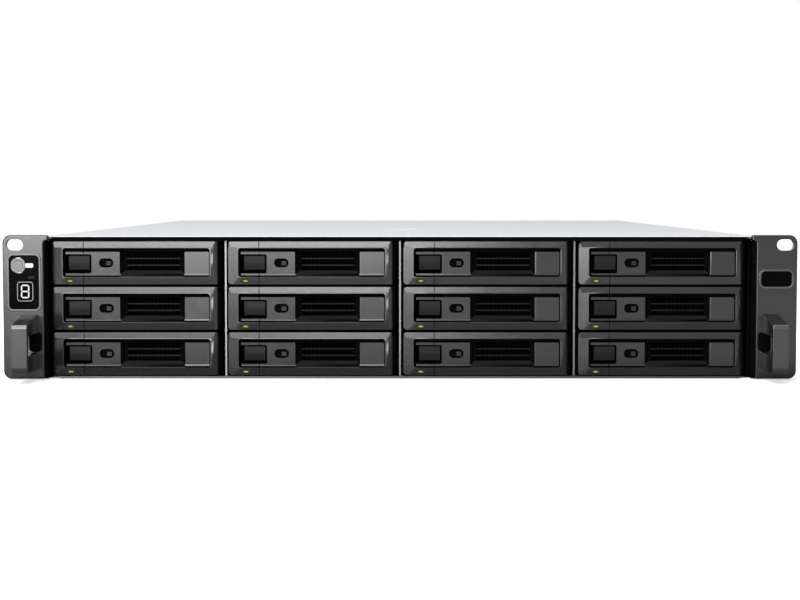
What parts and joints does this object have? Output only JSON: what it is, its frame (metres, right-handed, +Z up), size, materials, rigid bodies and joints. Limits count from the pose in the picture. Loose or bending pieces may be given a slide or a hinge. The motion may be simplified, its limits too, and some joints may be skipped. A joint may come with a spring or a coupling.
{
  "type": "network attached storage",
  "caption": "Two-unit rack storage enclosure with drive trays in rows, rack ears with pull handles and a small display, and hot-swap power supplies behind.",
  "frame": {"origin": "centre of the footprint, from the handles' front faces to the supplies' grips, on the case's underside", "axes": "+X to the right seen from the front, +Y towards the back, +Z up; the trays come out along -Y"},
  "size_m": [0.482, 0.724, 0.088],
  "materials": {
    "galvanised_steel": "bare zinc-coated sheet, fine grain",
    "cover_paint": "light grey metal, satin",
    "ear_plastic": "fine textured dark grey",
    "handle_metal": "satin dark grey",
    "tray_plastic": "fine textured charcoal",
    "button_plastic": "matt charcoal",
    "black_plastic": "matt black",
    "display_gloss": "polished black",
    "button_silver": "satin silver",
    "board_green": "solder mask",
    "supply_case": "plated sheet"
  },
  "bodies": {
    "root": {"chassis_pan": "galvanised_steel", "drive_cage": "galvanised_steel", "backplane": "board_green", "fan_cage": "black_plastic", "expander_board": "board_green", "front_cover": "cover_paint", "left_ear": "ear_plastic", "right_ear": "ear_plastic", "display_window": "display_gloss", "left_handle": "handle_metal", "right_handle": "handle_metal"},
    "rear_cover": {"rear_cover": "cover_paint"},
    "power_button": {"power_button": "button_silver"},
    "left_release": {"left_release": "black_plastic"},
    "right_release": {"right_release": "black_plastic"},
    "fan_rotor_1": {"fan_rotor_1": "black_plastic"},
    "fan_rotor_2": {"fan_rotor_2": "black_plastic"},
    "fan_rotor_3": {"fan_rotor_3": "black_plastic"},
    "power_supply_1": {"power_supply_1": "supply_case"},
    "power_supply_1_catch": {"power_supply_1_catch": "black_plastic"},
    "power_supply_1_rotor": {"power_supply_1_rotor": "black_plastic"},
    "power_supply_2": {"power_supply_2": "supply_case"},
    "power_supply_2_catch": {"power_supply_2_catch": "black_plastic"},
    "power_supply_2_rotor": {"power_supply_2_rotor": "black_plastic"},
    "tray_01": {"tray_01": "tray_plastic"},
    "tray_lever_01": {"tray_lever_01": "tray_plastic"},
    "tray_button_01": {"tray_button_01": "button_plastic"},
    "tray_02": {"tray_02": "tray_plastic"},
    "tray_lever_02": {"tray_lever_02": "tray_plastic"},
    "tray_button_02": {"tray_button_02": "button_plastic"},
    "tray_03": {"tray_03": "tray_plastic"},
    "tray_lever_03": {"tray_lever_03": "tray_plastic"},
    "tray_button_03": {"tray_button_03": "button_plastic"},
    "tray_04": {"tray_04": "tray_plastic"},
    "tray_lever_04": {"tray_lever_04": "tray_plastic"},
    "tray_button_04": {"tray_button_04": "button_plastic"},
    "tray_05": {"tray_05": "tray_plastic"},
    "tray_lever_05": {"tray_lever_05": "tray_plastic"},
    "tray_button_05": {"tray_button_05": "button_plastic"},
    "tray_06": {"tray_06": "tray_plastic"},
    "tray_lever_06": {"tray_lever_06": "tray_plastic"},
    "tray_button_06": {"tray_button_06": "button_plastic"},
    "tray_07": {"tray_07": "tray_plastic"},
    "tray_lever_07": {"tray_lever_07": "tray_plastic"},
    "tray_button_07": {"tray_button_07": "button_plastic"},
    "tray_08": {"tray_08": "tray_plastic"},
    "tray_lever_08": {"tray_lever_08": "tray_plastic"},
    "tray_button_08": {"tray_button_08": "button_plastic"},
    "tray_09": {"tray_09": "tray_plastic"},
    "tray_lever_09": {"tray_lever_09": "tray_plastic"},
    "tray_button_09": {"tray_button_09": "button_plastic"},
    "tray_10": {"tray_10": "tray_plastic"},
    "tray_lever_10": {"tray_lever_10": "tray_plastic"},
    "tray_button_10": {"tray_button_10": "button_plastic"},
    "tray_11": {"tray_11": "tray_plastic"},
    "tray_lever_11": {"tray_lever_11": "tray_plastic"},
    "tray_button_11": {"tray_button_11": "button_plastic"},
    "tray_12": {"tray_12": "tray_plastic"},
    "tray_lever_12": {"tray_lever_12": "tray_plastic"},
    "tray_button_12": {"tray_button_12": "button_plastic"}
  },
  "joints": [
    {"name": "rear_cover_lift", "type": "slide", "parent": "root", "child": "rear_cover", "axis": [0, 0, 1], "range_m": [0, 0.12]},
    {"name": "power_button_press", "type": "slide", "parent": "root", "child": "power_button", "axis": [0, 1, 0], "range_m": [0, 0.001], "stiffness_N_per_m": 500},
    {"name": "left_release_press", "type": "slide", "parent": "root", "child": "left_release", "axis": [0, 1, 0], "range_m": [0, 0.003], "stiffness_N_per_m": 400},
    {"name": "right_release_press", "type": "slide", "parent": "root", "child": "right_release", "axis": [0, 1, 0], "range_m": [0, 0.003], "stiffness_N_per_m": 400},
    {"name": "fan_1_spin", "type": "hinge", "parent": "root", "child": "fan_rotor_1", "pos_m": [-0.132, -0.0985, 0.0423], "axis": [0, 1, 0], "continuous": true},
    {"name": "fan_2_spin", "type": "hinge", "parent": "root", "child": "fan_rotor_2", "pos_m": [0, -0.0985, 0.0423], "axis": [0, 1, 0], "continuous": true},
    {"name": "fan_3_spin", "type": "hinge", "parent": "root", "child": "fan_rotor_3", "pos_m": [0.132, -0.0985, 0.0423], "axis": [0, 1, 0], "continuous": true},
    {"name": "power_supply_1_slide", "type": "slide", "parent": "root", "child": "power_supply_1", "axis": [0, 1, 0], "range_m": [0, 0.15]},
    {"name": "power_supply_1_catch_press", "type": "slide", "parent": "power_supply_1", "child": "power_supply_1_catch", "axis": [1, 0, 0], "range_m": [0, 0.003], "stiffness_N_per_m": 300},
    {"name": "power_supply_1_fan_spin", "type": "hinge", "parent": "power_supply_1", "child": "power_supply_1_rotor", "pos_m": [0.15455, 0.3405, 0.021], "axis": [0, 1, 0], "continuous": true},
    {"name": "power_supply_2_slide", "type": "slide", "parent": "root", "child": "power_supply_2", "axis": [0, 1, 0], "range_m": [0, 0.15]},
    {"name": "power_supply_2_catch_press", "type": "slide", "parent": "power_supply_2", "child": "power_supply_2_catch", "axis": [1, 0, 0], "range_m": [0, 0.003], "stiffness_N_per_m": 300},
    {"name": "power_supply_2_fan_spin", "type": "hinge", "parent": "power_supply_2", "child": "power_supply_2_rotor", "pos_m": [0.15455, 0.3405, 0.0622], "axis": [0, 1, 0], "continuous": true},
    {"name": "tray_01_slide", "type": "slide", "parent": "root", "child": "tray_01", "axis": [0, -1, 0], "range_m": [0, 0.15]},
    {"name": "tray_01_lever_swing", "type": "hinge", "parent": "tray_01", "child": "tray_lever_01", "pos_m": [-0.1124, -0.3199, 0.0707], "axis": [0, 0, 1], "range_deg": [0, 60]},
    {"name": "tray_01_button_press", "type": "slide", "parent": "tray_01", "child": "tray_button_01", "axis": [0, 1, 0], "range_m": [0, 0.002], "stiffness_N_per_m": 300},
    {"name": "tray_02_slide", "type": "slide", "parent": "root", "child": "tray_02", "axis": [0, -1, 0], "range_m": [0, 0.15]},
    {"name": "tray_02_lever_swing", "type": "hinge", "parent": "tray_02", "child": "tray_lever_02", "pos_m": [-0.0055, -0.3199, 0.0707], "axis": [0, 0, 1], "range_deg": [0, 60]},
    {"name": "tray_02_button_press", "type": "slide", "parent": "tray_02", "child": "tray_button_02", "axis": [0, 1, 0], "range_m": [0, 0.002], "stiffness_N_per_m": 300},
    {"name": "tray_03_slide", "type": "slide", "parent": "root", "child": "tray_03", "axis": [0, -1, 0], "range_m": [0, 0.15]},
    {"name": "tray_03_lever_swing", "type": "hinge", "parent": "tray_03", "child": "tray_lever_03", "pos_m": [0.1014, -0.3199, 0.0707], "axis": [0, 0, 1], "range_deg": [0, 60]},
    {"name": "tray_03_button_press", "type": "slide", "parent": "tray_03", "child": "tray_button_03", "axis": [0, 1, 0], "range_m": [0, 0.002], "stiffness_N_per_m": 300},
    {"name": "tray_04_slide", "type": "slide", "parent": "root", "child": "tray_04", "axis": [0, -1, 0], "range_m": [0, 0.15]},
    {"name": "tray_04_lever_swing", "type": "hinge", "parent": "tray_04", "child": "tray_lever_04", "pos_m": [0.2083, -0.3199, 0.0707], "axis": [0, 0, 1], "range_deg": [0, 60]},
    {"name": "tray_04_button_press", "type": "slide", "parent": "tray_04", "child": "tray_button_04", "axis": [0, 1, 0], "range_m": [0, 0.002], "stiffness_N_per_m": 300},
    {"name": "tray_05_slide", "type": "slide", "parent": "root", "child": "tray_05", "axis": [0, -1, 0], "range_m": [0, 0.15]},
    {"name": "tray_05_lever_swing", "type": "hinge", "parent": "tray_05", "child": "tray_lever_05", "pos_m": [-0.1124, -0.3199, 0.04295], "axis": [0, 0, 1], "range_deg": [0, 60]},
    {"name": "tray_05_button_press", "type": "slide", "parent": "tray_05", "child": "tray_button_05", "axis": [0, 1, 0], "range_m": [0, 0.002], "stiffness_N_per_m": 300},
    {"name": "tray_06_slide", "type": "slide", "parent": "root", "child": "tray_06", "axis": [0, -1, 0], "range_m": [0, 0.15]},
    {"name": "tray_06_lever_swing", "type": "hinge", "parent": "tray_06", "child": "tray_lever_06", "pos_m": [-0.0055, -0.3199, 0.04295], "axis": [0, 0, 1], "range_deg": [0, 60]},
    {"name": "tray_06_button_press", "type": "slide", "parent": "tray_06", "child": "tray_button_06", "axis": [0, 1, 0], "range_m": [0, 0.002], "stiffness_N_per_m": 300},
    {"name": "tray_07_slide", "type": "slide", "parent": "root", "child": "tray_07", "axis": [0, -1, 0], "range_m": [0, 0.15]},
    {"name": "tray_07_lever_swing", "type": "hinge", "parent": "tray_07", "child": "tray_lever_07", "pos_m": [0.1014, -0.3199, 0.04295], "axis": [0, 0, 1], "range_deg": [0, 60]},
    {"name": "tray_07_button_press", "type": "slide", "parent": "tray_07", "child": "tray_button_07", "axis": [0, 1, 0], "range_m": [0, 0.002], "stiffness_N_per_m": 300},
    {"name": "tray_08_slide", "type": "slide", "parent": "root", "child": "tray_08", "axis": [0, -1, 0], "range_m": [0, 0.15]},
    {"name": "tray_08_lever_swing", "type": "hinge", "parent": "tray_08", "child": "tray_lever_08", "pos_m": [0.2083, -0.3199, 0.04295], "axis": [0, 0, 1], "range_deg": [0, 60]},
    {"name": "tray_08_button_press", "type": "slide", "parent": "tray_08", "child": "tray_button_08", "axis": [0, 1, 0], "range_m": [0, 0.002], "stiffness_N_per_m": 300},
    {"name": "tray_09_slide", "type": "slide", "parent": "root", "child": "tray_09", "axis": [0, -1, 0], "range_m": [0, 0.15]},
    {"name": "tray_09_lever_swing", "type": "hinge", "parent": "tray_09", "child": "tray_lever_09", "pos_m": [-0.1124, -0.3199, 0.0152], "axis": [0, 0, 1], "range_deg": [0, 60]},
    {"name": "tray_09_button_press", "type": "slide", "parent": "tray_09", "child": "tray_button_09", "axis": [0, 1, 0], "range_m": [0, 0.002], "stiffness_N_per_m": 300},
    {"name": "tray_10_slide", "type": "slide", "parent": "root", "child": "tray_10", "axis": [0, -1, 0], "range_m": [0, 0.15]},
    {"name": "tray_10_lever_swing", "type": "hinge", "parent": "tray_10", "child": "tray_lever_10", "pos_m": [-0.0055, -0.3199, 0.0152], "axis": [0, 0, 1], "range_deg": [0, 60]},
    {"name": "tray_10_button_press", "type": "slide", "parent": "tray_10", "child": "tray_button_10", "axis": [0, 1, 0], "range_m": [0, 0.002], "stiffness_N_per_m": 300},
    {"name": "tray_11_slide", "type": "slide", "parent": "root", "child": "tray_11", "axis": [0, -1, 0], "range_m": [0, 0.15]},
    {"name": "tray_11_lever_swing", "type": "hinge", "parent": "tray_11", "child": "tray_lever_11", "pos_m": [0.1014, -0.3199, 0.0152], "axis": [0, 0, 1], "range_deg": [0, 60]},
    {"name": "tray_11_button_press", "type": "slide", "parent": "tray_11", "child": "tray_button_11", "axis": [0, 1, 0], "range_m": [0, 0.002], "stiffness_N_per_m": 300},
    {"name": "tray_12_slide", "type": "slide", "parent": "root", "child": "tray_12", "axis": [0, -1, 0], "range_m": [0, 0.15]},
    {"name": "tray_12_lever_swing", "type": "hinge", "parent": "tray_12", "child": "tray_lever_12", "pos_m": [0.2083, -0.3199, 0.0152], "axis": [0, 0, 1], "range_deg": [0, 60]},
    {"name": "tray_12_button_press", "type": "slide", "parent": "tray_12", "child": "tray_button_12", "axis": [0, 1, 0], "range_m": [0, 0.002], "stiffness_N_per_m": 300}
  ]
}
